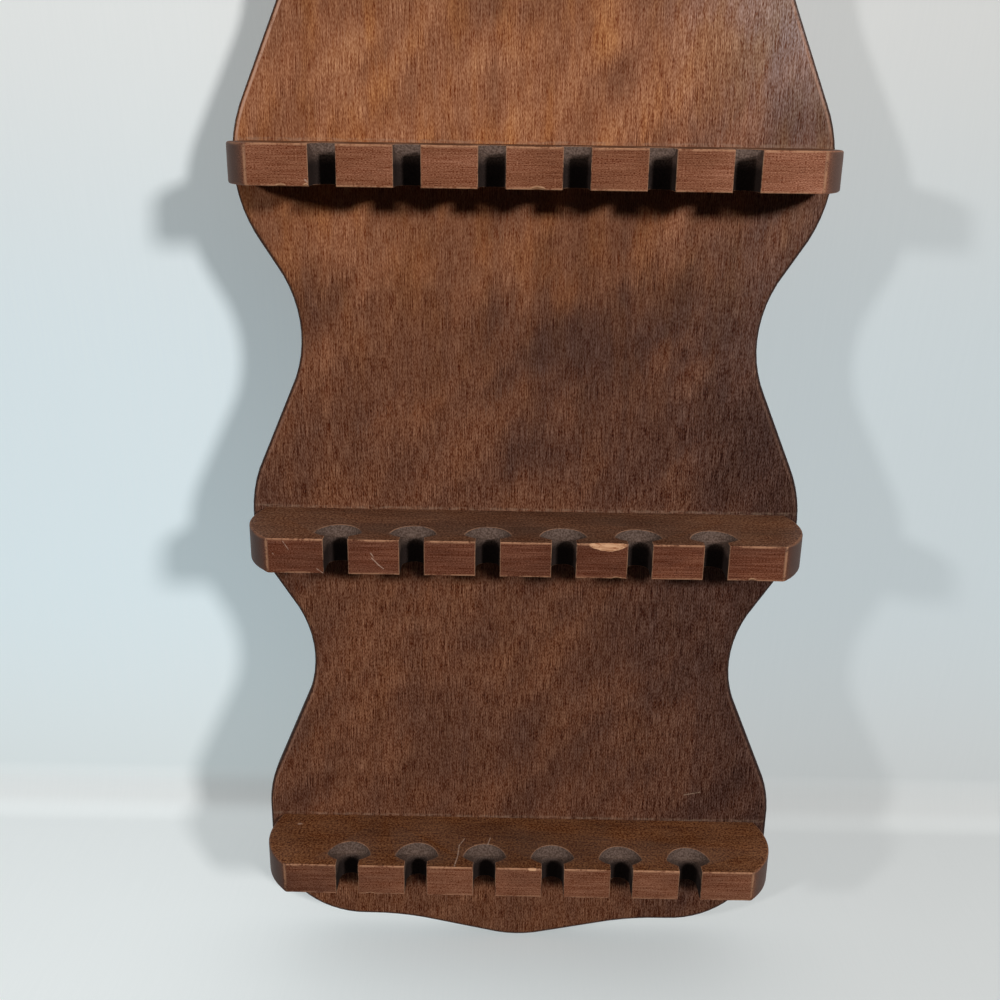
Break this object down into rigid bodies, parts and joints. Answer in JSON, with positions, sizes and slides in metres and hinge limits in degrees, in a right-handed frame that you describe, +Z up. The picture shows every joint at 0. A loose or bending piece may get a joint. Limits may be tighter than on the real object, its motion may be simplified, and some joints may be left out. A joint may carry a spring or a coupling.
{
  "type": "spoon rack",
  "caption": "Wall-hung wooden rack: a scalloped backboard carries slotted shelves that hold souvenir spoons upright by their stems.",
  "frame": {"origin": "middle of the hanging hole on the back of the board, which is the wall plane", "axes": "+Z up, +X to the viewer's right, -Y out of the wall towards the viewer"},
  "size_m": [0.196, 0.0413, 0.4383],
  "materials": {
    "board_wood": "dark stain, satin lacquer",
    "shelf_wood": "dark stain, satin lacquer, worn edges",
    "screw_steel": "dull zinc"
  },
  "bodies": {
    "root": {"backboard": "board_wood", "top_shelf": "shelf_wood", "middle_shelf": "shelf_wood", "bottom_shelf": "shelf_wood", "top_shelf_screws": "screw_steel", "middle_shelf_screws": "screw_steel", "bottom_shelf_screws": "screw_steel"}
  },
  "joints": []
}
